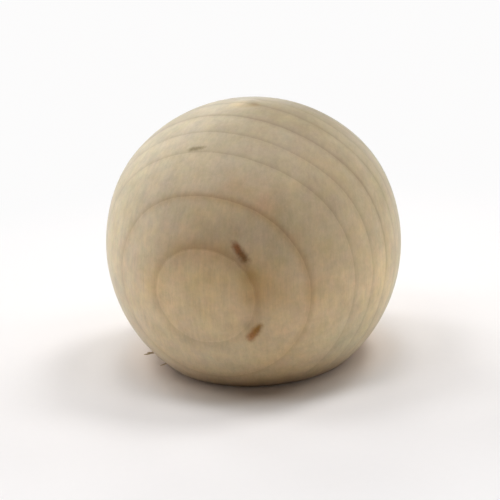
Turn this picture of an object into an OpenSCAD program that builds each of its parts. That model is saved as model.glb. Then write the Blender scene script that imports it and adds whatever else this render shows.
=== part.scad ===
// Hardwood ball with a flat to stand on, turned along the grain.
// One solid of revolution, in millimetres and degrees. +Z is the turning axis, which is also the
// run of the grain, and the flat lies on z = 0.
//
// The outline is a chain of tangent arcs. From the flat upwards these are the edge, belt, shoulder
// and crown. Belt and crown are a little flatter than a true ball and the shoulder is tighter, as
// a ball is when it is turned to shape by a form tool. The flat cuts the belt off low down, and a
// light sanding eases its edge.

/* [Ball] */
// Diameter at the widest line
ball_d = 38.1; // [31:0.1:60]
// Radius of the belt, round the widest line, beyond a true ball's
belt_flat = 1.18; // [0.4:0.02:3]
// Radius of the crown beyond a true ball's
crown_flat = 0.84; // [0.3:0.02:3]
// Depth of the crown below a true ball's
crown_drop = 0.39; // [0.1:0.01:1.5]
// Radius of the shoulder short of a true ball's
shoulder_tight = 3.4; // [2:0.1:8]

/* [Base] */
// Diameter of the flat
flat_d = 23.7; // [12:0.1:28]
// Radius that eases the edge of the flat
edge_r = 0.5; // [0.2:0.1:2]

/* [Parting nub] */
// Diameter of the low nub of end grain where the ball was parted off
nub_d = 3.8; // [1:0.1:8]
// Height of the nub above the crown
nub_h = 0.1; // [0.02:0.01:0.4]

/* [Hidden] */
$fn = 180;
birch = [0.74, 0.66, 0.53];

// Added to each tight arc, so that it crosses its neighbours at a clean point and doesn't just graze them
blend = 0.0005;

// Points of the outline are [distance from the axis, height above the widest line].
ball_r = ball_d / 2;
crown_h = ball_r - crown_drop;

belt_r = ball_r + belt_flat;
belt_c = [-belt_flat, 0];

crown_r = ball_r + crown_flat;
crown_c = [0, crown_h - crown_r];

shoulder_r = ball_r - shoulder_tight;
shoulder_c = outer_meet(belt_c, belt_r - shoulder_r, crown_c, crown_r - shoulder_r);

// The edge arc stands over the rim of the flat and touches the belt.
edge_x = flat_d / 2;
edge_c = [edge_x, -sqrt((belt_r - edge_r) ^ 2 - (edge_x - belt_c.x) ^ 2)];
base_h = edge_r - edge_c.y;

// The nub is a cap whose rim lies on the crown.
nub_rim_h = crown_c.y + sqrt(crown_r ^ 2 - (nub_d / 2) ^ 2);
nub_rise = crown_h + nub_h - nub_rim_h;
nub_r = ((nub_d / 2) ^ 2 + nub_rise ^ 2) / (2 * nub_rise);

// Unit step in a direction, in degrees up from straight out
function along(angle) = [cos(angle), sin(angle)];

// Direction of one point from another
function bearing(from, to) = atan2(to.y - from.y, to.x - from.x);

// Meeting point, further out and up, of two circles
function outer_meet(a, a_r, b, b_r) =
    let (
        gap = norm(b - a),
        ahead = (b - a) / gap,
        step = (a_r ^ 2 - b_r ^ 2 + gap ^ 2) / (2 * gap),
        side = sqrt(a_r ^ 2 - step ^ 2)
    )
    a + step * ahead + side * [-ahead.y, ahead.x];

// Disc on the outline's plane
module disc(centre, r) {
    translate(centre) circle(r);
}

// Wood that a tight arc turns away between two directions from its centre
module waste(centre, r, from, to) {
    reach = 2 * r;
    difference() {
        polygon([centre, centre + reach * along(from), centre + reach * along(to)]);
        disc(centre, r + blend);
    }
}

// What belt, crown and flat bound, out to the right of the axis
module blank() {
    intersection() {
        disc(belt_c, belt_r);
        disc(crown_c, crown_r);
        translate([0, -base_h]) square([ball_d, base_h + ball_d]);
    }
}

module nub() {
    intersection() {
        disc([0, crown_h + nub_h - nub_r], nub_r);
        square([ball_d, ball_d]);
    }
}

module outline() {
    difference() {
        blank();
        waste(shoulder_c, shoulder_r, bearing(belt_c, shoulder_c), bearing(crown_c, shoulder_c));
        waste(edge_c, edge_r, bearing(belt_c, edge_c), -90);
    }
    nub();
}

module ball() {
    color(birch) translate([0, 0, base_h]) rotate_extrude() outline();
}

ball();
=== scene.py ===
# Turned wooden ball with a flat base: its wood, its fine surface and a plain studio stage.
# Lengths are metres unless a name or a comment says mm. +Z is the turning axis and the flat lies on z = 0.
import math

import bmesh
import bpy
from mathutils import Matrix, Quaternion, Vector
from mathutils.noise import noise


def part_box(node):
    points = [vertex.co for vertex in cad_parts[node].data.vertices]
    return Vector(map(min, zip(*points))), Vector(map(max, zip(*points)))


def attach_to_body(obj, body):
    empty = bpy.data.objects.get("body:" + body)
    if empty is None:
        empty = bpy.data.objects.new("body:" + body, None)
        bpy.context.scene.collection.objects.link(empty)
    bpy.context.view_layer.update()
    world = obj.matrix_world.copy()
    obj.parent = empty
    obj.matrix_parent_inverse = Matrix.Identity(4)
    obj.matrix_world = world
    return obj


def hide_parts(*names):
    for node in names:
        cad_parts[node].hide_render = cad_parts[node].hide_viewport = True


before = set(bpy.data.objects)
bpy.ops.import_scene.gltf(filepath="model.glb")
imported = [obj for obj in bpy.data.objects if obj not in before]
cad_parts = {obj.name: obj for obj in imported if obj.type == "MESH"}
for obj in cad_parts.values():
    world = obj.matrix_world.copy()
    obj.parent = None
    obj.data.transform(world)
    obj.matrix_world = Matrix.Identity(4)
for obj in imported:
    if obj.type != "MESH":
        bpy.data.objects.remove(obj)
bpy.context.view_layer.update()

bl_info = {
    "name": "Turned Wooden Ball",
    "version": (1, 0, 0),
    "blender": (4, 5, 0),
    "location": "3D View > Sidebar > Wooden Ball",
    "description": "Turns a birch ball with a flat base and sets it on a plain stage",
    "category": "Object",
}

BODY = "root"
NODE = "ball"
MM = 0.001
NODE_LOW, NODE_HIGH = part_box(NODE)
FIT_TOLERANCE = 0.1 * MM

# A colour's gain that leaves it as it is
UNCHANGED = Vector((1.0, 1.0, 1.0))


# ---------------------------------------------------------------- sizes and colours

class BallShape(bpy.types.PropertyGroup):
    """Sizes of the turned outline, a chain of tangent arcs"""

    diameter: bpy.props.FloatProperty(
        name="Diameter", description="Diameter at the widest line",
        default=0.0381, min=0.031, max=0.06, unit="LENGTH")
    belt_flat: bpy.props.FloatProperty(
        name="Belt flat", description="Radius of the belt beyond a true ball's",
        default=0.00118, min=0.0004, unit="LENGTH")
    crown_flat: bpy.props.FloatProperty(
        name="Crown flat", description="Radius of the crown beyond a true ball's",
        default=0.00084, min=0.0003, unit="LENGTH")
    crown_drop: bpy.props.FloatProperty(
        name="Crown drop", description="Depth of the crown below a true ball's",
        default=0.00039, min=0.0001, unit="LENGTH")
    shoulder_tight: bpy.props.FloatProperty(
        name="Shoulder tight", description="Radius of the shoulder short of a true ball's",
        default=0.0034, min=0.002, unit="LENGTH")
    flat_diameter: bpy.props.FloatProperty(
        name="Flat diameter", description="Diameter of the flat that the ball stands on",
        default=0.0237, min=0.012, unit="LENGTH")
    edge_radius: bpy.props.FloatProperty(
        name="Edge radius", description="Radius that eases the edge of the flat",
        default=0.0005, min=0.0002, unit="LENGTH")
    nub_diameter: bpy.props.FloatProperty(
        name="Nub diameter", description="Diameter of the parting nub on the crown",
        default=0.0038, min=0.001, unit="LENGTH")
    nub_height: bpy.props.FloatProperty(
        name="Nub height", description="Height of the parting nub above the crown",
        default=0.0001, min=0.00002, unit="LENGTH")
    grid: bpy.props.FloatProperty(
        name="Grid", description="Distance between the mesh's rows",
        default=0.00033, min=0.0002, unit="LENGTH")
    around: bpy.props.IntProperty(
        name="Around", description="Points round the widest line", default=360, min=48)


class FleckShape(bpy.types.PropertyGroup):
    """One pith fleck: a short brown scar in the wood, a little sunken"""

    start: bpy.props.FloatVectorProperty(
        name="Start", description="One end, from the centre of the widest line", unit="LENGTH")
    end: bpy.props.FloatVectorProperty(
        name="End", description="The other end", unit="LENGTH")
    start_width: bpy.props.FloatProperty(name="Start width", description="Width there", unit="LENGTH")
    end_width: bpy.props.FloatProperty(name="End width", description="Width there", unit="LENGTH")
    start_color: bpy.props.FloatVectorProperty(
        name="Start colour", description="Colour there", size=3, subtype="COLOR")
    end_color: bpy.props.FloatVectorProperty(
        name="End colour", description="Colour there", size=3, subtype="COLOR")
    depth: bpy.props.FloatProperty(name="Depth", description="Depth of the pit", unit="LENGTH")
    strength: bpy.props.FloatProperty(
        name="Strength", description="How fully the fleck hides the wood", default=1.0,
        subtype="FACTOR")


class StageSetting(bpy.types.PropertyGroup):
    """Camera and lamps"""

    camera_elevation: bpy.props.FloatProperty(
        name="Camera elevation", description="Angle of the camera above the horizon",
        default=math.radians(19), subtype="ANGLE")
    camera_distance: bpy.props.FloatProperty(
        name="Camera distance", description="From the camera to the ball's centre",
        default=0.3, unit="LENGTH")
    camera_roll: bpy.props.FloatProperty(
        name="Camera roll", description="Turn of the camera about its own line of sight",
        default=math.radians(-3.3), subtype="ANGLE")
    camera_aim: bpy.props.FloatVectorProperty(
        name="Camera aim", description="Point looked at, from the centre of the widest line",
        default=(-0.000516, 0.0, -0.001149), unit="LENGTH")
    lens_mm: bpy.props.FloatProperty(name="Lens", description="Focal length in mm", default=166.907)
    lamp_distance: bpy.props.FloatProperty(
        name="Lamp distance", description="From each lamp to the ball's centre",
        default=0.6, unit="LENGTH")
    lamp_size: bpy.props.FloatProperty(
        name="Lamp size", description="Diameter of each lamp", default=0.18, unit="LENGTH")
    floor_color: bpy.props.FloatVectorProperty(
        name="Floor colour", description="Colour of the pale floor",
        default=(0.88, 0.858, 0.855), size=3, subtype="COLOR")


# ---------------------------------------------------------------- the turned outline

# The rows lie this much closer on the edge of the flat
EDGE_FINENESS = 3
ARC_STEPS_LEAST = 4
# How level the parting nub stays before it falls off to its rim
NUB_LEVEL = 4


def meeting_point(centre_a, radius_a, centre_b, radius_b):
    """Meeting point, further out and up, of two circles on the outline's plane"""
    gap = (centre_b - centre_a).length
    ahead = (centre_b - centre_a) / gap
    step = (radius_a**2 - radius_b**2 + gap**2) / (2 * gap)
    side = math.sqrt(radius_a**2 - step**2)
    return centre_a + step * ahead + side * Vector((-ahead.y, ahead.x))


def bearing(start, end):
    """Direction from one point to another, in radians up from straight out"""
    return math.atan2(end.y - start.y, end.x - start.x)


class Outline:
    """The turned outline as points of [distance from the axis, height above the widest line]"""

    def __init__(self, shape):
        ball_r = shape.diameter / 2
        self.crown_h = ball_r - shape.crown_drop
        self.belt = Vector((-shape.belt_flat, 0)), ball_r + shape.belt_flat
        crown_r = ball_r + shape.crown_flat
        self.crown = Vector((0, self.crown_h - crown_r)), crown_r
        shoulder_r = ball_r - shape.shoulder_tight
        belt_c, belt_r = self.belt
        crown_c = self.crown[0]
        shoulder_c = meeting_point(belt_c, belt_r - shoulder_r, crown_c, crown_r - shoulder_r)
        self.shoulder = shoulder_c, shoulder_r
        self.flat_r = shape.flat_diameter / 2
        edge_y = -math.sqrt((belt_r - shape.edge_radius) ** 2 - (self.flat_r - belt_c.x) ** 2)
        self.edge = Vector((self.flat_r, edge_y)), shape.edge_radius
        self.base_h = shape.edge_radius - edge_y
        self.nub_r = shape.nub_diameter / 2
        self.nub_height = shape.nub_height

    def arc(self, circle, start, end, grid):
        """Points along an arc, its start left out"""
        centre, radius = circle
        steps = max(ARC_STEPS_LEAST, math.ceil(abs(end - start) * radius / grid))
        for step in range(1, steps + 1):
            angle = start + (end - start) * step / steps
            yield centre + radius * Vector((math.cos(angle), math.sin(angle)))

    def points(self, grid):
        """The whole outline, from the centre of the flat up to the crown"""
        rows = math.ceil(self.flat_r / grid)
        made = [Vector((self.flat_r * row / rows, -self.base_h)) for row in range(rows + 1)]
        edge_top = bearing(self.belt[0], self.edge[0])
        belt_top = bearing(self.belt[0], self.shoulder[0])
        shoulder_top = bearing(self.crown[0], self.shoulder[0])
        made.extend(self.arc(self.edge, -math.pi / 2, edge_top, grid / EDGE_FINENESS))
        made.extend(self.arc(self.belt, edge_top, belt_top, grid))
        made.extend(self.arc(self.shoulder, belt_top, shoulder_top, grid))
        made.extend(self.arc(self.crown, shoulder_top, math.pi / 2, grid))
        made[-1].x = 0.0
        return [self.with_nub(point) for point in made]

    def with_nub(self, point):
        """Raises the crown's middle into the parting nub, whose rim eases into the crown"""
        if point.y < 0 or point.x > self.nub_r:
            return point
        share = point.x / self.nub_r
        return point + Vector((0, self.nub_height * (1 - share**NUB_LEVEL)))


# ---------------------------------------------------------------- mesh

MOST_HALVINGS = 4
ON_AXIS = 1e-9
ON_FLAT = 1e-6

# Pits of the flecks, counted in half widths from a fleck's line: how far the mesh is refined, how
# far the pit can reach, how ragged its edge is and the size of the rags
PIT_REFINED = 2.2
PIT_EDGE = 1.6
PIT_RAGGED = 0.35
RAG_SIZE = 0.35 * MM

# Fine marks of the tools: the facing rings on the flat and the plain rim they stop at, the torn
# fibres on the nub and the waver that sanding leaves
FACING_PITCH = 0.62 * MM
FACING_DEPTH = 0.012 * MM
FACING_RIM = 0.6 * MM
FACING_SWAY = 0.8
SWAY_SIZE = 3 * MM
TEAR_DEPTH = 0.022 * MM
TEAR_SIZE = 0.28 * MM
TEAR_SIZE_FINE = 0.13 * MM
TEAR_LEVEL = 6
WAVER_DEPTH = 0.012 * MM
WAVER_SIZE = 5.5 * MM
WAVER_SIZE_FINE = 2.3 * MM
FINE_SHARE = 0.5

# One torn fibre: rows along it, points round it, how far it thins and how late, how much its width
# and its line waver, how flat it is and its ribs
STRAND_ROWS = 22
STRAND_SIDES = 14
STRAND_TAPER = 0.82
STRAND_TAPER_BEND = 1.6
STRAND_WAVER = 0.3
STRAND_DRIFT = 0.35
STRAND_FLAT = 0.55
STRAND_RIB = 0.18
STRAND_RIBS = 4
# The fibres of one bundle: how far they fan out, how much each falls short of the one before and
# where their noises start
STRAND_FAN = 0.07 * MM
STRAND_SHORTER = 0.17
STRAND_SEED = 1.5

# Torn fibres that stand out near the foot, in mm from the centre of the widest line: the points
# that each bundle follows, the first inside the wood, a strand's width and how many strands
TORN_FIBRES = {
    "torn_sliver": (
        ((-13.20, -6.0, -12.12), (-13.72, -6.0, -12.24), (-14.25, -6.0, -12.32),
         (-14.65, -6.0, -12.38), (-14.95, -6.0, -12.34)), 0.26, 3),
    "torn_tuft": (
        ((-11.75, -6.1, -13.75), (-12.22, -6.1, -13.88), (-12.55, -6.1, -13.97),
         (-12.95, -6.1, -14.06)), 0.20, 2),
}

# Pith flecks in mm: ends from the centre of the widest line, widths there, colours there, depth of
# the pit, strength
FLECKS = (
    ((-2.53, -17.89, 6.23), (-0.80, -18.70, 3.64), 0.88, 1.10,
     (0.275, 0.098, 0.022), (0.185, 0.082, 0.010), 0.08, 1.0),
    ((-1.33, -17.87, -6.68), (0.31, -18.56, -4.40), 1.12, 0.92,
     (0.370, 0.150, 0.034), (0.290, 0.132, 0.004), 0.07, 1.0),
    ((-7.40, -8.29, 15.27), (-5.26, -8.99, 15.71), 0.72, 0.44,
     (0.290, 0.225, 0.110), (0.340, 0.265, 0.140), 0.03, 0.95),
)


def ring_sizes(outline, around):
    """Points in each row: fewer near the axis, always by halves, so that no face is a sliver"""
    widest = max(point.x for point in outline)
    sizes = []
    for point in outline:
        halvings = 0
        while (halvings < MOST_HALVINGS and around % 2 ** (halvings + 1) == 0
               and point.x * 2**halvings < widest / 2):
            halvings += 1
        sizes.append(1 if point.x < ON_AXIS else around // 2**halvings)
    return sizes


def lathe(outline, around, lift):
    """A closed mesh turned from the outline, its points raised by lift"""
    turned = bmesh.new()
    rows = []
    for point, count in zip(outline, ring_sizes(outline, around)):
        angles = [2 * math.pi * step / count for step in range(count)]
        rows.append([
            turned.verts.new((point.x * math.cos(angle), point.x * math.sin(angle), point.y + lift))
            for angle in angles
        ])
    for low, high in zip(rows, rows[1:]):
        join_rows(turned, low, high)
    bmesh.ops.recalc_face_normals(turned, faces=turned.faces)
    return turned


def join_rows(turned, low, high):
    """Faces between two rows, of which one may have half the points of the other, or be a pole"""
    if len(low) == len(high):
        for step in range(len(low)):
            after = (step + 1) % len(low)
            turned.faces.new((low[step], low[after], high[after], high[step]))
        return
    many, few = (low, high) if len(low) > len(high) else (high, low)
    share = len(many) // len(few)
    if len(few) == 1:
        for step in range(len(many)):
            turned.faces.new((many[step], many[(step + 1) % len(many)], few[0]))
        return
    for step in range(len(few)):
        first = many[step * share]
        middle = many[step * share + 1]
        last = many[(step * share + 2) % len(many)]
        turned.faces.new((first, middle, few[step]))
        turned.faces.new((middle, last, few[(step + 1) % len(few)], few[step]))


def capsule(point, fleck):
    """How far a point lies from a fleck's line, in half widths of the fleck there"""
    start, end = Vector(fleck.start), Vector(fleck.end)
    run = end - start
    share = min(1.0, max(0.0, (point - start).dot(run) / run.length_squared))
    width = fleck.start_width + (fleck.end_width - fleck.start_width) * share
    return (point - (start + run * share)).length / (width / 2)


def refine(turned, flecks, centre, cuts):
    """Splits the faces round each fleck, so that its pit is true geometry"""
    for fleck in flecks:
        near = [
            face for face in turned.faces
            if capsule(face.calc_center_median() - centre, fleck) < PIT_REFINED
        ]
        edges = list({edge for face in near for edge in face.edges})
        bmesh.ops.subdivide_edges(turned, edges=edges, cuts=cuts, use_grid_fill=True)
    turned.normal_update()


def sink_flecks(turned, flecks, centre):
    """Sinks a ragged pit under each fleck"""
    moves = []
    for vert in turned.verts:
        place = vert.co - centre
        sink = 0.0
        for fleck in flecks:
            near = capsule(place, fleck)
            if near < PIT_EDGE:
                ragged = near + PIT_RAGGED * noise(place / RAG_SIZE)
                sink = max(sink, fleck.depth * max(0.0, 1 - ragged**2))
        if sink:
            moves.append((vert, vert.normal * -sink))
    for vert, move in moves:
        vert.co += move


def work_surface(turned, outline, lift):
    """Fine marks of the tools: sanding on the ball, facing rings on the flat, torn fibres on the nub"""
    for vert in turned.verts:
        place = vert.co
        out = math.hypot(place.x, place.y)
        if place.z < ON_FLAT and out < outline.flat_r:
            sway = FACING_SWAY * noise(place / SWAY_SIZE)
            ripple = math.sin(out / FACING_PITCH * 2 * math.pi + sway)
            inside = min(1.0, (outline.flat_r - out) / FACING_RIM)
            place.z += FACING_DEPTH * inside * (1 + ripple)
        elif out < outline.nub_r and place.z > lift:
            torn = noise(Vector((place.x, place.y, 0)) / TEAR_SIZE)
            torn += FINE_SHARE * noise(Vector((place.x, place.y, 7 * MM)) / TEAR_SIZE_FINE)
            edge = 1 - (out / outline.nub_r) ** TEAR_LEVEL
            place.z += TEAR_DEPTH * torn * edge
        else:
            waver = noise(place / WAVER_SIZE) + FINE_SHARE * noise(place / WAVER_SIZE_FINE)
            place += vert.normal * waver * WAVER_DEPTH
            place.z = max(place.z, 0.0)


def to_object(turned, name, material):
    """Turns a bmesh into a smooth-shaded object of the scene"""
    mesh = bpy.data.meshes.new(name)
    turned.to_mesh(mesh)
    turned.free()
    mesh.shade_smooth()
    mesh.materials.append(material)
    made = bpy.data.objects.new(name, mesh)
    bpy.context.scene.collection.objects.link(made)
    return made


def strand_path(points, share):
    """A point on the smooth curve through the given points, and the direction there"""
    last = len(points) - 1
    piece = min(last - 1, int(share * last))
    part = share * last - piece
    before = points[max(0, piece - 1)]
    start, end = points[piece], points[piece + 1]
    after = points[min(last, piece + 2)]
    lean_out, lean_in = (end - before) / 2, (after - start) / 2
    place = (2 * part**3 - 3 * part**2 + 1) * start + (part**3 - 2 * part**2 + part) * lean_out
    place += (3 * part**2 - 2 * part**3) * end + (part**3 - part**2) * lean_in
    ahead = (6 * part**2 - 6 * part) * start + (3 * part**2 - 4 * part + 1) * lean_out
    ahead += (6 * part - 6 * part**2) * end + (3 * part**2 - 2 * part) * lean_in
    return place, ahead.normalized()


def grow_strand(frayed, points, width, length, seed):
    """Adds one torn fibre: a flat ribbed strip that thins to a split end"""
    before = None
    for row in range(STRAND_ROWS + 1):
        share = row / STRAND_ROWS * length
        place, ahead = strand_path(points, share)
        side = ahead.cross(Vector((0, 1, 0))).normalized()
        out = side.cross(ahead)
        drift = noise(Vector((share * 3, seed, 0))) * width * STRAND_DRIFT
        taper = width / 2 * (1 - STRAND_TAPER * (row / STRAND_ROWS) ** STRAND_TAPER_BEND)
        taper *= 1 + STRAND_WAVER * noise(Vector((share * 9, seed, 4)))
        ring = []
        for step in range(STRAND_SIDES):
            angle = 2 * math.pi * step / STRAND_SIDES
            rib = 1 + STRAND_RIB * math.cos(angle * STRAND_RIBS + seed)
            flat = Vector((math.cos(angle), STRAND_FLAT * math.sin(angle))) * taper * rib
            ring.append(frayed.verts.new(place + side * (flat.x + drift) + out * flat.y))
        if before is None:
            frayed.faces.new(list(reversed(ring)))
        else:
            for step in range(STRAND_SIDES):
                after = (step + 1) % STRAND_SIDES
                frayed.faces.new((before[step], before[after], ring[after], ring[step]))
        before = ring
    frayed.faces.new(before)


# ---------------------------------------------------------------- shader expressions

class Wire:
    """An output socket. Arithmetic on it adds Math nodes, or Vector Math nodes for a vector"""

    def __init__(self, graph, socket):
        self.graph = graph
        self.socket = socket

    @property
    def is_vector(self):
        """Whether this socket carries a vector or a colour"""
        return self.socket.type in {"VECTOR", "RGBA"}

    def maths(self, operation, *others):
        """A Math node on this value and others"""
        values = dict(enumerate((self, *others)))
        return self.graph.node("ShaderNodeMath", {"operation": operation}, values)

    def measure(self, operation, other=None):
        """The value that a Vector Math node gives for this vector, or for this and another"""
        values = {0: self} if other is None else {0: self, 1: other}
        return self.graph.node("ShaderNodeVectorMath", {"operation": operation}, values, "Value")

    def combine(self, operation, other, flipped=False):
        """A node for + - * /, which scales where one side is a vector and the other a value"""
        if operation == "MULTIPLY" and self.is_vector != is_vector(other):
            vector, share = (self, other) if self.is_vector else (other, self)
            values = {0: vector, "Scale": share}
            return self.graph.node("ShaderNodeVectorMath", {"operation": "SCALE"}, values)
        pair = (other, self) if flipped else (self, other)
        kind = "ShaderNodeVectorMath" if self.is_vector else "ShaderNodeMath"
        return self.graph.node(kind, {"operation": operation}, dict(enumerate(pair)))

    def __add__(self, other):
        return self.combine("ADD", other)

    def __radd__(self, other):
        return self.combine("ADD", other, flipped=True)

    def __sub__(self, other):
        return self.combine("SUBTRACT", other)

    def __rsub__(self, other):
        return self.combine("SUBTRACT", other, flipped=True)

    def __mul__(self, other):
        return self.combine("MULTIPLY", other)

    def __rmul__(self, other):
        return self.combine("MULTIPLY", other)

    def __truediv__(self, other):
        return self.combine("DIVIDE", other)

    def __rtruediv__(self, other):
        return self.combine("DIVIDE", other, flipped=True)

    def __pow__(self, other):
        return self.combine("POWER", other)

    def __rpow__(self, other):
        return self.combine("POWER", other, flipped=True)

    def __neg__(self):
        return self * -1

    def __gt__(self, other):
        return self.maths("GREATER_THAN", other)

    def __lt__(self, other):
        return self.maths("LESS_THAN", other)

    def exp(self):
        """e to the power of this value"""
        return self.maths("EXPONENT")

    def most(self, other):
        """The greater of the two"""
        return self.maths("MAXIMUM", other)

    def least(self, other):
        """The smaller of the two"""
        return self.maths("MINIMUM", other)

    def hill(self, width):
        """A bell curve of this distance: 1 at none, and near 0 past twice the width"""
        share = self / width
        return (-(share * share)).exp()

    def step(self, low, high):
        """0 below low, 1 above high and a smooth rise between"""
        settings = {"interpolation_type": "SMOOTHSTEP"}
        limits = {"Value": self, "From Min": low, "From Max": high}
        return self.graph.node("ShaderNodeMapRange", settings, limits)

    def dot(self, other):
        """The dot product of two vectors"""
        return self.measure("DOT_PRODUCT", other)

    def length(self):
        """The length of this vector"""
        return self.measure("LENGTH")

    def part(self, axis):
        """This vector's part along X (0), Y (1) or Z (2)"""
        return self.graph.node("ShaderNodeSeparateXYZ", {}, {0: self}, axis)


def is_vector(value):
    """Whether a wire or a plain value is a vector or a colour"""
    if isinstance(value, Wire):
        return value.is_vector
    return isinstance(value, (tuple, list, Vector))


# The Mix node's sockets when it mixes colours
MIX_SHARE = 0
MIX_FIRST = 6
MIX_SECOND = 7
MIX_RESULT = 2


class Graph:
    """A material's nodes, ending in one Principled shader"""

    def __init__(self, name):
        self.material = bpy.data.materials.new(name)
        self.material.use_nodes = True
        self.tree = self.material.node_tree
        self.shader = self.tree.nodes["Principled BSDF"]

    def node(self, kind, settings=None, values=None, output=0):
        """Adds a node: its settings first, then the values or links of its sockets"""
        made = self.tree.nodes.new(kind)
        for name, value in (settings or {}).items():
            setattr(made, name, value)
        for name, value in (values or {}).items():
            self.plug(made.inputs[name], value)
        return Wire(self, made.outputs[output])

    def plug(self, socket, value):
        """Links a wire to a socket, or sets the socket to a plain value"""
        if isinstance(value, Wire):
            self.tree.links.new(value.socket, socket)
        elif socket.type == "RGBA" and len(value) == 3:
            socket.default_value = (*value, 1)
        else:
            socket.default_value = value

    def mix(self, share, first, second):
        """A colour between two"""
        values = {MIX_SHARE: share, MIX_FIRST: first, MIX_SECOND: second}
        return self.node("ShaderNodeMix", {"data_type": "RGBA"}, values, MIX_RESULT)

    def noise(self, place, scale, detail=2.0, roughness=0.5):
        """A noise from about -1 to 1"""
        values = {"Vector": place, "Scale": scale, "Detail": detail, "Roughness": roughness}
        return self.node("ShaderNodeTexNoise", values=values) * 2 - 1

    def finish(self, **sockets):
        """Sets the shader's own sockets, an underscore in a name standing for a space"""
        for name, value in sockets.items():
            self.plug(self.shader.inputs[name.replace("_", " ")], value)
        return self.material


# ---------------------------------------------------------------- wood

# Growth rings: each year's line as its distance from the pith in mm, how dark the line is and how
# much the wood darkens before it. One more line lies RING_BEFORE mm inside the first
RING_LINES = (
    (25.4, 0.8, 0.7), (27.9, 0.6, 0.6), (30.4, 0.9, 0.8), (32.9, 0.7, 0.6), (35.9, 1.0, 0.8),
    (38.6, 0.7, 0.7), (41.8, 0.9, 0.9), (44.6, 0.6, 0.6), (47.34, 0.45, 0.6), (49.26, 0.75, 0.8),
    (51.93, 0.95, 1.2), (54.44, 0.5, 1.1), (56.78, 0.7, 1.0), (60.49, 1.10, 0.95), (62.99, 1.1, 0.55),
    (66.5, 0.9, 0.6),
)
RING_BEFORE = 3

# The share of its colour that the wood loses late in a year and gains early in the next, and how
# fast each fades per mm away from the year's line
LATE_WOOD = (0.080, 0.088, 0.096)
LATE_FADE = -1.0
SPRING_WOOD = (0.078, 0.085, 0.100)
SPRING_FADE = -2.5

# The line itself: its width in mm, the share of its colour that the wood loses on a grey one and on
# a brown one, and the span from the pith in mm over which the lines turn from grey to brown
LINE_WIDTH = 0.3
GREY_LINE = (0.125, 0.145, 0.170)
BROWN_LINE = (0.160, 0.255, 0.350)
BROWN_SPAN = (56.5, 62.5)

# How strong the rings are in the middle of the ball and how that grows per mm to the right, up and
# behind, and its limits for the lines and for the late wood
VIGOUR = 0.72
VIGOUR_RIGHT = 0.02
VIGOUR_UP = 0.035
VIGOUR_BEHIND = 0.035
LINE_VIGOUR_LEAST = 0.35
LINE_VIGOUR_MOST = 1.45
LATE_VIGOUR_LEAST = 0.5
LATE_VIGOUR_MOST = 1.6

# Where the pith and the innermost oval lie in mm from the centre of the widest line, and the run of
# the grain
PITH = Vector((16.01, 42.55, 0.0))
GRAIN = Vector((0.0, -0.12, 1.0)).normalized()
OVAL_CENTRE = (-6.28, -17.98, -0.23)

# How a place in the tree is counted: turn and rise are its distances round the pith and along it,
# per BALL_REACH mm, and depth is its distance beyond one ring in steps of DEPTH_STEP mm
BALL_REACH = 19.0
MM_PER_RADIAN = 95
DEPTH_FROM = 57
DEPTH_STEP = 8
DEPTH_LEAST = -1.9

# How the rings stray from plain cylinders round the pith: the mm that each term adds. The two
# middles keep the bow and the double bend level over the whole ball
BOW_MIDDLE = 0.33
BEND_MIDDLE = 0.6
TWIST = 0.41
BOW = 1.958
TWISTED_BOW = -0.633
DOUBLE_BEND = 0.282
WRUNG = 0.336
DEEP_LEAN = -0.356
DEEP_BOW = -0.09
DEEPER_LEAN = 0.533
WANDER = 0.04

# The wood's colour at the middle and how it drifts, per BALL_REACH mm and per its square. The drift is
# partly the wood's tone and partly painted light: painted shade darkens it upwards and towards both ends,
# and a painted sheen makes it paler and cooler towards the sides
PLAIN_WOOD = (0.664, 0.472, 0.252)
DRIFT_ACROSS = (-0.0619, -0.0553, -0.0472)
DRIFT_UP_PAINTED_SHADE = (-0.0699, -0.0545, -0.0335)
DRIFT_ENDS_PAINTED_SHADE = (-0.181, -0.0817, -0.0093)
DRIFT_TWIST = (-0.0914, -0.0859, -0.0627)
DRIFT_SIDES_PAINTED_SHEEN = (0.0451, 0.1090, 0.1119)

# A dark band outside the innermost oval: the ring line that it ends at, how fast it fades inwards
# in mm, its reach round the oval's centre, the span of heights over which it grows, its share below
# them and the share of its colour that the wood gains there
BAND_LINE = 62.95
BAND_FADE = 1.1
BAND_REACH = 8.0
BAND_SPAN = (-5.0, 6.0)
BAND_BELOW = 0.2
BAND_STAIN = (-0.2, -0.27, -0.34)
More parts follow.
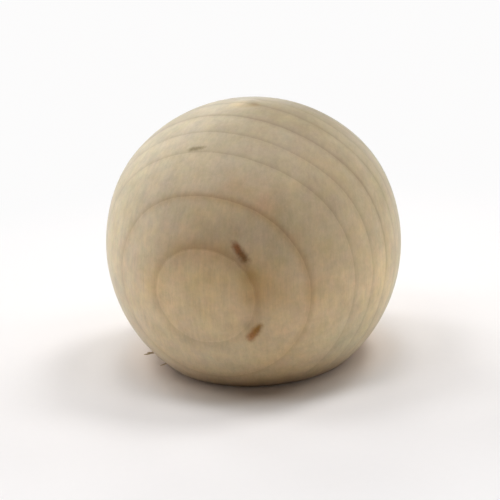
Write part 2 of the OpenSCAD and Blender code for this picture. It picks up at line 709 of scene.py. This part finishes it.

# Soft patches of lighter, darker and tinted tone: the middle from the centre of the widest line and the
# reach, both in mm, and the share of its colour that the wood gains there
TONE_PATCHES = {
    "by_oval_high": ((-0.80, -18.92, 2.12), 1.3, (-0.20, -0.21, -0.37)),
    "by_oval_low": ((-0.57, -19.03, -0.71), 1.3, (-0.17, -0.20, -0.27)),
    "by_fleck": ((-1.32, -18.52, -4.39), 0.75, (-0.25, -0.26, -0.27)),
    "yellow_oval": ((-6.41, -17.87, 1.56), 3.6, (0.0, -0.03, -0.14)),
    "pale_oval": ((-5.53, -18.12, -2.06), 2.4, (0.11, 0.10, 0.07)),
    "olive": ((1.08, -19.01, 0.61), 2.6, (0.02, -0.07, -0.28)),
    "by_second_ring": ((7.30, -17.59, -0.68), 1.8, (-0.04, -0.08, -0.17)),
    "blush": ((1.67, -15.95, 10.46), 1.6, (0.14, 0.0, -0.09)),
    "warm_band": ((-1.76, -14.70, 12.05), 1.8, (0.07, -0.04, -0.13)),
    "pale_band": ((5.14, -13.43, 12.52), 2.4, (0.12, 0.14, 0.12)),
    "pale_crown": ((-5.07, -2.39, 17.85), 4.8, (0.27, 0.31, 0.40)),
    "yellow_crown": ((2.40, -1.40, 18.35), 3.0, (-0.06, -0.11, -0.25)),
    "dim_shoulder": ((6.67, -10.57, 14.24), 6.5, (-0.07, -0.12, -0.20)),
    "cool_middle": ((3.41, -16.50, 9.13), 8.0, (-0.05, 0.01, 0.13)),
    "dim_left": ((-10.92, -13.23, 8.52), 4.0, (-0.08, -0.07, 0.0)),
    "warm_left": ((-12.52, -14.33, -0.94), 2.6, (0.14, 0.10, 0.01)),
    "warm_flank": ((15.82, -10.17, -3.13), 4.5, (0.20, 0.16, 0.07)),
    "pale_side": ((9.22, -16.45, -2.80), 5.5, (0.13, 0.13, 0.14)),
    "pale_below": ((-4.68, -16.50, -8.55), 5.5, (0.01, 0.09, 0.13)),
    "dim_below": ((10.76, -12.87, -9.33), 5.0, (-0.13, -0.05, -0.02)),
}

# Painted shade on the foot, darker towards the floor: where it starts, how far below that it counts
# in full and its shade there
FOOT_TOP = -9.0
FOOT_DEPTH = 6.3
FOOT_PAINTED_SHADE = (-0.26, -0.36, -0.42)

# Marks on the parting nub, in mm from its top: the middle, how X is squeezed, the reach and the
# share of its colour that the wood gains there. The pale mark is partly end grain and partly a painted
# highlight on its lit side; the orange-brown mark is partly a scar and partly painted shade on its far
# side
NUB_MARKS = {
    "end_grain_and_painted_highlight": ((-0.80, -0.50, 0.0), 1.0, 1.15, (0.45, 0.42, 0.27)),
    "scar_and_painted_shade": ((1.15, -1.15, -0.05), 0.7, 0.6, (-0.10, -0.21, -0.40)),
}

# Noises that follow the grain: how the distances out, round and along are squeezed, then the scale,
# detail and roughness
FIBRE = ((1.0, 1.0, 0.15), 1.3, 4.0, 0.7)
FINE_FIBRE = ((1.0, 1.0, 0.06), 8.0, 2.0, 0.6)
PORES = ((1.0, 1.0, 0.1), 6.5, 1.0, 0.5)
RAYS = ((0.1, 1.6, 0.22), 4.6, 2.0, 0.5)
PORE_SPAN = (0.3, 0.6)
RAY_SPAN = (0.2, 0.7)

# What each detail of the wood adds to its tone, its relief and its roughness
TONE = {"fibre": 0.17, "fine": 0.08, "mottle": 0.33, "rays": 0.02, "pores": -0.08}
RELIEF = {"fibre": 0.5, "fine": 0.25, "pores": -0.5, "line": -0.3, "scar": -0.6}
ROUGHNESS = {"fibre": 0.05, "pores": 0.1, "scar": 0.2, "rays": -0.03}
ROUGHNESS_MIDDLE = 0.54
RELIEF_DEPTH = 0.012 * MM

# Tints that drift over a few mm: where each one's noise is taken, its scale and the share of its
# colour that the wood gains
TINTS = {
    "yellow": ((31.0, 7.0, 3.0), 0.35, (0.02, 0.0, -0.19)),
    "blush": ((3.0, 41.0, 17.0), 0.5, (0.05, -0.05, 0.0)),
}

# A fleck's colour: how ragged and streaked it is, the span of distances over which its edge fades
# and the span along it over which its start's colour turns into its end's
FLECK_RAGGED = 0.5
FLECK_STREAK = 0.5
FLECK_EDGE = (0.2, 1.75)
FLECK_TURN = (0.1, 0.9)

TORN_COLOR = (0.540, 0.425, 0.270)
TORN_RELIEF = 0.02 * MM


class Growth:
    """Where a point lies in the tree: mm from the pith, around it and along it"""

    def __init__(self, graph, place):
        """place is in mm from the centre of the widest line"""
        from_pith = place - PITH
        toward_ball = -(PITH - GRAIN * PITH.dot(GRAIN)).normalized()
        sideways = GRAIN.cross(toward_ball)
        self.along = from_pith.dot(GRAIN)
        outward = from_pith - self.along * GRAIN
        near = outward.dot(toward_ball)
        self.around = outward.dot(sideways).maths("ARCTAN2", near) * MM_PER_RADIAN
        straight = outward.length()
        turn = self.around / BALL_REACH
        rise = self.along / BALL_REACH
        rise_2 = rise * rise
        bowed = rise_2 - BOW_MIDDLE
        depth = ((straight - DEPTH_FROM) / DEPTH_STEP).most(DEPTH_LEAST)
        sweep = turn * rise * TWIST + bowed * BOW + turn * rise_2 * TWISTED_BOW
        sweep += (rise_2 * rise - rise * BEND_MIDDLE) * DOUBLE_BEND + turn * turn * rise * WRUNG
        sweep += depth * rise * DEEP_LEAN + depth * bowed * DEEP_BOW
        sweep += depth * depth * rise * DEEPER_LEAN
        wander = graph.noise(place, scale=0.12, detail=1.0) + graph.noise(place, scale=0.6)
        self.out = straight + sweep + wander * WANDER
        self.place = graph.node(
            "ShaderNodeCombineXYZ", {}, {0: self.out, 1: self.around, 2: self.along})


def ring_shade(growth, place):
    """Share of the wood's colour that its growth ring leaves, and where the year's lines lie"""
    out = growth.out
    before = (RING_LINES[0][0] - RING_BEFORE, *RING_LINES[0][1:])
    ahead = [out * 0 + part for part in RING_LINES[0]]
    passed = [out * 0 + part for part in before]
    for this, after in zip(RING_LINES, RING_LINES[1:]):
        crossed = out > this[0]
        ahead = [old + crossed * (new - now) for old, new, now in zip(ahead, after, this)]
        passed = [old + crossed * (new - now) for old, new, now in zip(passed, this, before)]
        before = this
    to_line = ahead[0] - out
    from_line = out - passed[0]
    behind = place.part(1).most(0.0)
    vigour = place.part(0) * VIGOUR_RIGHT + place.part(2) * VIGOUR_UP + behind * VIGOUR_BEHIND + VIGOUR
    line = (to_line.hill(LINE_WIDTH) * ahead[1]).most(from_line.hill(LINE_WIDTH) * passed[1])
    line = line * vigour.most(LINE_VIGOUR_LEAST).least(LINE_VIGOUR_MOST)
    brown = out.step(*BROWN_SPAN)
    line_color = brown * (Vector(BROWN_LINE) - Vector(GREY_LINE)) + Vector(GREY_LINE)
    late = (to_line * LATE_FADE).exp() * ahead[2] * vigour.most(LATE_VIGOUR_LEAST).least(LATE_VIGOUR_MOST)
    spring = (from_line * SPRING_FADE).exp()
    shade = line * line_color + late * Vector(LATE_WOOD) - spring * Vector(SPRING_WOOD)
    return -(shade - UNCHANGED), line


def grain_noise(graph, growth, detail):
    """A noise that is drawn out along the grain"""
    squeeze, *settings = detail
    return graph.noise(growth.place * Vector(squeeze), *settings)


def weigh(details, shares):
    """The sum of the details that have a share, each times its share"""
    first, *others = [details[name] * share for name, share in shares.items()]
    return sum(others, first)


def birch(flecks, shape):
    """Bare birch: growth rings, fibres, pores and rays, with its flecks and parting nub"""
    graph = Graph("birch")
    outline = Outline(shape)
    place = graph.node("ShaderNodeTexCoord", output="Object") * (1 / MM)
    place = place - Vector((0, 0, outline.base_h / MM))
    growth = Growth(graph, place)
    rings, line = ring_shade(growth, place)

    details = {
        "line": line,
        "fibre": grain_noise(graph, growth, FIBRE),
        "fine": grain_noise(graph, growth, FINE_FIBRE),
        "pores": grain_noise(graph, growth, PORES).step(*PORE_SPAN),
        "rays": grain_noise(graph, growth, RAYS).step(*RAY_SPAN),
        "mottle": graph.noise(place, scale=0.35, detail=5.0, roughness=0.75),
    }

    wood = wood_drift(place) * rings
    wood = stain_and_shade_wood(growth, place, wood)
    wood = color_nub(place, wood, outline)
    wood = wood * (weigh(details, TONE) + 1.0)
    for shift, scale, gain in TINTS.values():
        tint = graph.noise(place + Vector(shift), scale, detail=3.0, roughness=0.65)
        wood = wood * (tint * Vector(gain) + UNCHANGED)

    scar = 0.0
    for fleck in flecks:
        mask, color = fleck_mask(graph, place, fleck)
        scar = mask.most(scar)
        wood = graph.mix(mask, wood, color)
    details["scar"] = scar

    height = weigh(details, RELIEF)
    bump = graph.node("ShaderNodeBump", {}, {"Strength": 1.0, "Distance": RELIEF_DEPTH, "Height": height})
    return graph.finish(
        Base_Color=wood, Roughness=weigh(details, ROUGHNESS) + ROUGHNESS_MIDDLE, Normal=bump,
        Specular_IOR_Level=0.7, Sheen_Weight=0.2, Sheen_Roughness=0.3, Sheen_Tint=(0.55, 0.8, 1.0))


def wood_drift(place):
    """Tone before the rings: it drifts, with painted shade to the ends and painted sheen at the sides"""
    across = place.part(0) / BALL_REACH
    up = place.part(2) / BALL_REACH
    # Partly painted shade: darker upwards, and on the next line towards both ends
    color = across * Vector(DRIFT_ACROSS) + up * Vector(DRIFT_UP_PAINTED_SHADE)
    color = color + up * up * Vector(DRIFT_ENDS_PAINTED_SHADE) + across * up * Vector(DRIFT_TWIST)
    # Partly painted sheen: paler and cooler towards the sides
    return color + across * across * Vector(DRIFT_SIDES_PAINTED_SHEEN) + Vector(PLAIN_WOOD)


def stain_and_shade_wood(growth, place, wood):
    """Darkens a band outside the innermost oval, adds the soft patches and paints shade on the foot"""
    middle = (place - Vector(OVAL_CENTRE)).length().hill(BAND_REACH)
    above = (place.part(2) - OVAL_CENTRE[2]).step(*BAND_SPAN)
    band = ahead_of(growth, BAND_LINE) * middle * (above * (1 - BAND_BELOW) + BAND_BELOW)
    change = band * Vector(BAND_STAIN)
    for centre, reach, patch_tint in TONE_PATCHES.values():
        change += (place - Vector(centre)).length().hill(reach) * Vector(patch_tint)
    # Painted shade: the wood darkens from the foot's top down to the floor
    foot = ((FOOT_TOP - place.part(2)) / FOOT_DEPTH).most(0.0)
    change += foot * foot * Vector(FOOT_PAINTED_SHADE)
    return wood * (change + UNCHANGED)


def color_nub(place, wood, outline):
    """Pale torn end grain and an orange-brown scar on the parting nub, partly painted highlight and shade
    """
    top = Vector((0.0, 0.0, (outline.crown_h + outline.nub_height) / MM))
    # Partly painted light: a highlight on the nub's lit side and shade on its far side
    for middle, squeeze, reach, gain in NUB_MARKS.values():
        from_middle = (place - top - Vector(middle)) * Vector((squeeze, 1.0, 1.0))
        wood = wood * (from_middle.length().hill(reach) * Vector(gain) + UNCHANGED)
    return wood


def ahead_of(growth, line):
    """Fades in from the pith's side up to one year's line, and stops there"""
    gap = line - growth.out
    return (gap * (-1 / BAND_FADE)).exp().least(1.0) * (gap > 0)


def fleck_mask(graph, place, fleck):
    """1 on a fleck and 0 off it, with a soft ragged edge, and its colour there"""
    start = Vector(fleck.start) / MM
    run = Vector(fleck.end) / MM - start
    from_start = place - start
    share = from_start.dot(run) * (1 / run.length_squared)
    across = (from_start - share * run).length()
    half_start = fleck.start_width / MM / 2
    half = share.most(0.0).least(1.0) * (fleck.end_width / MM / 2 - half_start) + half_start
    ragged = graph.noise(place, scale=1.9, detail=3.0, roughness=0.6) * FLECK_RAGGED
    along = share * 2 - 1
    reach = (along * along * along * along + (across / half) ** 2) ** 0.5
    mask = (1 - (reach + ragged).step(*FLECK_EDGE)) * fleck.strength
    turned = (share + ragged).step(*FLECK_TURN)
    color = graph.mix(turned, tuple(fleck.start_color), tuple(fleck.end_color))
    streak = graph.noise(place, scale=4.5, roughness=0.6)
    return mask, color * (streak * FLECK_STREAK + 1.0)


def torn_wood():
    """Greyed torn fibre, streaked along its run"""
    graph = Graph("torn_wood")
    place = graph.node("ShaderNodeTexCoord", output="Object") * (1 / MM)
    streak = graph.noise(place * Vector((1.2, 9.0, 9.0)), scale=1.0, detail=3.0, roughness=0.65)
    patch = graph.noise(place, scale=2.6)
    color = (streak * 0.35 + patch * 0.2 + 1.0) * Vector(TORN_COLOR)
    bump = graph.node("ShaderNodeBump", {}, {"Strength": 1.0, "Distance": TORN_RELIEF, "Height": streak})
    return graph.finish(Base_Color=color, Roughness=patch * 0.08 + 0.72, Normal=bump)


# What painted shade round the foot and a painted shadow in front of it do to the floor's colour, the span
# from the axis over which the painted shade thins out, and the painted shadow's middle, squeeze and reach
FLOOR_PAINTED_SHADE = (-0.04, -0.10, -0.16)
PAINTED_SHADE_SPAN = (0.013, 0.020)
FLOOR_PAINTED_SHADOW = (-0.33, -0.35, -0.37)
PAINTED_SHADOW_MIDDLE = (0.0, -0.0152, 0.0)
PAINTED_SHADOW_SQUEEZE = (0.42, 1.0, 1.0)
PAINTED_SHADOW_REACH = 0.0024

# The board: half its width, how far under the flat it lies, how dark the dark of its grain is, and
# the span from the axis over which the camera sees it turn into the plain backdrop's colour
FLOOR_HALF = 3.0
FLOOR_GAP = 0.02 * MM
BOARD_GRAIN = 0.985
BOARD_SPAN = (0.04, 0.08)
BACKDROP_COLOR = (0.975, 0.970, 0.970)


def floor_material(color):
    """Matt pale board that turns to plain white far from the ball, for the camera alone"""
    graph = Graph("pale_board")
    place = graph.node("ShaderNodeTexCoord", output="Object")
    grain = graph.noise(place, scale=900.0)
    matt = graph.mix(grain * 0.5 + 0.5, tuple(BOARD_GRAIN * part for part in color), color)
    from_axis = place.length()
    # Painted shade: the floor darkens and warms round the foot
    painted_contact_shade = 1 - from_axis.step(*PAINTED_SHADE_SPAN)
    seen = graph.node("ShaderNodeLightPath", output="Is Camera Ray")
    # A painted shadow in front of the foot that the camera alone sees
    from_painted_shadow = (place - Vector(PAINTED_SHADOW_MIDDLE)) * Vector(PAINTED_SHADOW_SQUEEZE)
    painted_shadow = from_painted_shadow.length().hill(PAINTED_SHADOW_REACH) * seen
    change = painted_contact_shade * Vector(FLOOR_PAINTED_SHADE) + painted_shadow * Vector(FLOOR_PAINTED_SHADOW)
    graph.finish(Base_Color=matt * (change + UNCHANGED), Roughness=0.9, Specular_IOR_Level=0.0)
    far = from_axis.step(*BOARD_SPAN)
    white = graph.node("ShaderNodeEmission", {}, {"Color": BACKDROP_COLOR, "Strength": 1.0})
    board = Wire(graph, graph.shader.outputs[0])
    both = graph.node("ShaderNodeMixShader", {}, {0: far * seen, 1: board, 2: white})
    graph.plug(graph.tree.nodes["Material Output"].inputs["Surface"], both)
    return graph.material


# ---------------------------------------------------------------- operators

def scene_part(name):
    """One of the script's own settings groups on the scene"""
    return getattr(bpy.context.scene, name)


def attach(piece):
    """Lets a piece ride on the ball's body"""
    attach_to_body(piece, BODY)


class BALL_OT_turn(bpy.types.Operator):
    """Turn the ball, sink its flecks and give it its wood"""

    bl_idname = "wooden_ball.turn"
    bl_label = "Turn Ball"

    def execute(self, context):
        shape = scene_part("wooden_ball_shape")
        flecks = scene_part("wooden_ball_flecks")
        outline = Outline(shape)
        centre = Vector((0, 0, outline.base_h))
        turned = lathe(outline.points(shape.grid), shape.around, outline.base_h)
        work_surface(turned, outline, outline.base_h)
        refine(turned, flecks, centre, cuts=2)
        sink_flecks(turned, flecks, centre)
        ball = to_object(turned, "turned_ball", birch(flecks, shape))
        if abs(ball.dimensions.z - (NODE_HIGH - NODE_LOW).z) > FIT_TOLERANCE:
            raise RuntimeError("the outline no longer fits the packed ball: copy its sizes here")
        attach(ball)
        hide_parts(NODE)
        return {"FINISHED"}


class BALL_OT_fray(bpy.types.Operator):
    """Raise the torn fibres near the foot"""

    bl_idname = "wooden_ball.fray"
    bl_label = "Fray Fibres"

    def execute(self, context):
        lift = Vector((0, 0, Outline(scene_part("wooden_ball_shape")).base_h))
        material = torn_wood()
        for name, (points, width, strands) in TORN_FIBRES.items():
            frayed = bmesh.new()
            for seed in range(strands):
                fan = Vector((0, 0, STRAND_FAN * (seed - (strands - 1) / 2)))
                path = [Vector(point) * MM + lift + fan * step / 2 for step, point in enumerate(points)]
                grow_strand(frayed, path, width * MM, 1 - STRAND_SHORTER * seed, seed + STRAND_SEED)
            bmesh.ops.recalc_face_normals(frayed, faces=frayed.faces)
            attach(to_object(frayed, name, material))
        return {"FINISHED"}


class BALL_OT_stage(bpy.types.Operator):
    """Set the floor, the lamps and the camera"""

    bl_idname = "wooden_ball.stage"
    bl_label = "Set Stage"

    def execute(self, context):
        setting = scene_part("wooden_ball_stage")
        outline = Outline(scene_part("wooden_ball_shape"))
        centre = Vector((0, 0, outline.base_h))
        make_floor(setting)
        for name, (azimuth, elevation, power) in LAMPS.items():
            make_lamp(name, math.radians(azimuth), math.radians(elevation), power, centre, setting)
        make_world()
        make_camera(centre, setting)
        return {"FINISHED"}


# Lamps of a soft tent: degrees round from the camera's side, degrees up, watts
LAMPS = {
    "back_right_high": (120, 62, 0.990),
    "overhead": (0, 90, 0.618),
    "back_left_high": (240, 62, 0.597),
    "front_left_high": (300, 62, 0.429),
    "back_left": (210, 18, 0.414),
    "left_low": (270, 11.5, 0.395),
    "back_low": (180, 11.5, 0.374),
    "right_low": (90, 11.5, 0.325),
    "front_right_high": (60, 62, 0.321),
    "left_back_mid": (240, 38, 0.307),
    "left_back_low": (240, 11.5, 0.282),
    "right_back_mid": (120, 38, 0.269),
    "right_mid": (90, 38, 0.224),
    "back_mid": (180, 38, 0.221),
    "back_right_low": (150, 11.5, 0.205),
    "back_high": (180, 62, 0.180),
    "back_left_mid": (210, 38, 0.179),
    "front_right_low": (60, 11.5, 0.171),
    "left_mid": (270, 38, 0.157),
    "right_back_low": (120, 11.5, 0.144),
}


def bearing_vector(azimuth, elevation):
    """Direction from the ball, the azimuth counted from the camera's side towards +X"""
    flat = math.cos(elevation)
    return Vector((math.sin(azimuth) * flat, -math.cos(azimuth) * flat, math.sin(elevation)))


def make_lamp(name, azimuth, elevation, power, centre, setting):
    """A round soft lamp that the camera can't see"""
    light = bpy.data.lights.new(name, "AREA")
    light.shape = "DISK"
    light.size = setting.lamp_size
    light.energy = power
    lamp = bpy.data.objects.new(name, light)
    away = bearing_vector(azimuth, elevation)
    lamp.location = centre + away * setting.lamp_distance
    lamp.rotation_mode = "QUATERNION"
    lamp.rotation_quaternion = (-away).to_track_quat("-Z", "Y")
    lamp.visible_camera = False
    bpy.context.scene.collection.objects.link(lamp)


def make_floor(setting):
    """A wide pale floor just under the flat"""
    board = bmesh.new()
    bmesh.ops.create_grid(board, x_segments=1, y_segments=1, size=FLOOR_HALF)
    floor = to_object(board, "floor", floor_material(tuple(setting.floor_color)))
    floor.location.z = -FLOOR_GAP


def make_world():
    """White for the camera and dark for the lighting, which the lamps alone give"""
    world = bpy.data.worlds.new("studio")
    bpy.context.scene.world = world
    world.use_nodes = True
    nodes, links = world.node_tree.nodes, world.node_tree.links
    sky = nodes["Background"]
    sky.inputs["Color"].default_value = (1, 1, 1, 1)
    path = nodes.new("ShaderNodeLightPath")
    links.new(path.outputs["Is Camera Ray"], sky.inputs["Strength"])


def make_camera(centre, setting):
    """The camera, looking down at the ball with a slight roll"""
    lens = bpy.data.cameras.new("camera")
    lens.sensor_width = 36
    lens.lens = setting.lens_mm
    lens.clip_start = 0.01
    lens.clip_end = 20
    camera = bpy.data.objects.new("camera", lens)
    camera.location = centre + bearing_vector(0, setting.camera_elevation) * setting.camera_distance
    sight = centre + Vector(setting.camera_aim) - camera.location
    camera.rotation_mode = "QUATERNION"
    roll = Quaternion((0, 0, 1), setting.camera_roll)
    camera.rotation_quaternion = sight.to_track_quat("-Z", "Y") @ roll
    bpy.context.scene.collection.objects.link(camera)
    bpy.context.scene.camera = camera
    bpy.context.scene.view_settings.view_transform = "Standard"


class BALL_PT_panel(bpy.types.Panel):
    """The ball's sizes and its operators"""

    bl_label = "Wooden Ball"
    bl_idname = "BALL_PT_panel"
    bl_space_type = "VIEW_3D"
    bl_region_type = "UI"
    bl_category = "Wooden Ball"

    def draw(self, context):
        for group in (context.scene.wooden_ball_shape, context.scene.wooden_ball_stage):
            column = self.layout.column(align=True)
            for name in group.bl_rna.properties.keys():
                if name not in {"rna_type", "name"}:
                    column.prop(group, name)
        for operator in OPERATORS:
            self.layout.operator(operator.bl_idname)


OPERATORS = (BALL_OT_turn, BALL_OT_fray, BALL_OT_stage)
CLASSES = (BallShape, FleckShape, StageSetting, *OPERATORS, BALL_PT_panel)


def fill_flecks(flecks):
    """Puts the flecks of this ball into its settings"""
    flecks.clear()
    for start, end, start_width, end_width, start_color, end_color, depth, strength in FLECKS:
        fleck = flecks.add()
        fleck.start = [part * MM for part in start]
        fleck.end = [part * MM for part in end]
        fleck.start_width = start_width * MM
        fleck.end_width = end_width * MM
        fleck.start_color = start_color
        fleck.end_color = end_color
        fleck.depth = depth * MM
        fleck.strength = strength


def register():
    for kind in CLASSES:
        bpy.utils.register_class(kind)
    bpy.types.Scene.wooden_ball_shape = bpy.props.PointerProperty(type=BallShape)
    bpy.types.Scene.wooden_ball_flecks = bpy.props.CollectionProperty(type=FleckShape)
    bpy.types.Scene.wooden_ball_stage = bpy.props.PointerProperty(type=StageSetting)


def unregister():
    del bpy.types.Scene.wooden_ball_stage
    del bpy.types.Scene.wooden_ball_flecks
    del bpy.types.Scene.wooden_ball_shape
    for kind in reversed(CLASSES):
        bpy.utils.unregister_class(kind)


def main():
    register()
    fill_flecks(bpy.context.scene.wooden_ball_flecks)
    bpy.ops.wooden_ball.turn()
    bpy.ops.wooden_ball.fray()
    bpy.ops.wooden_ball.stage()


if __name__ == "__main__":
    main()
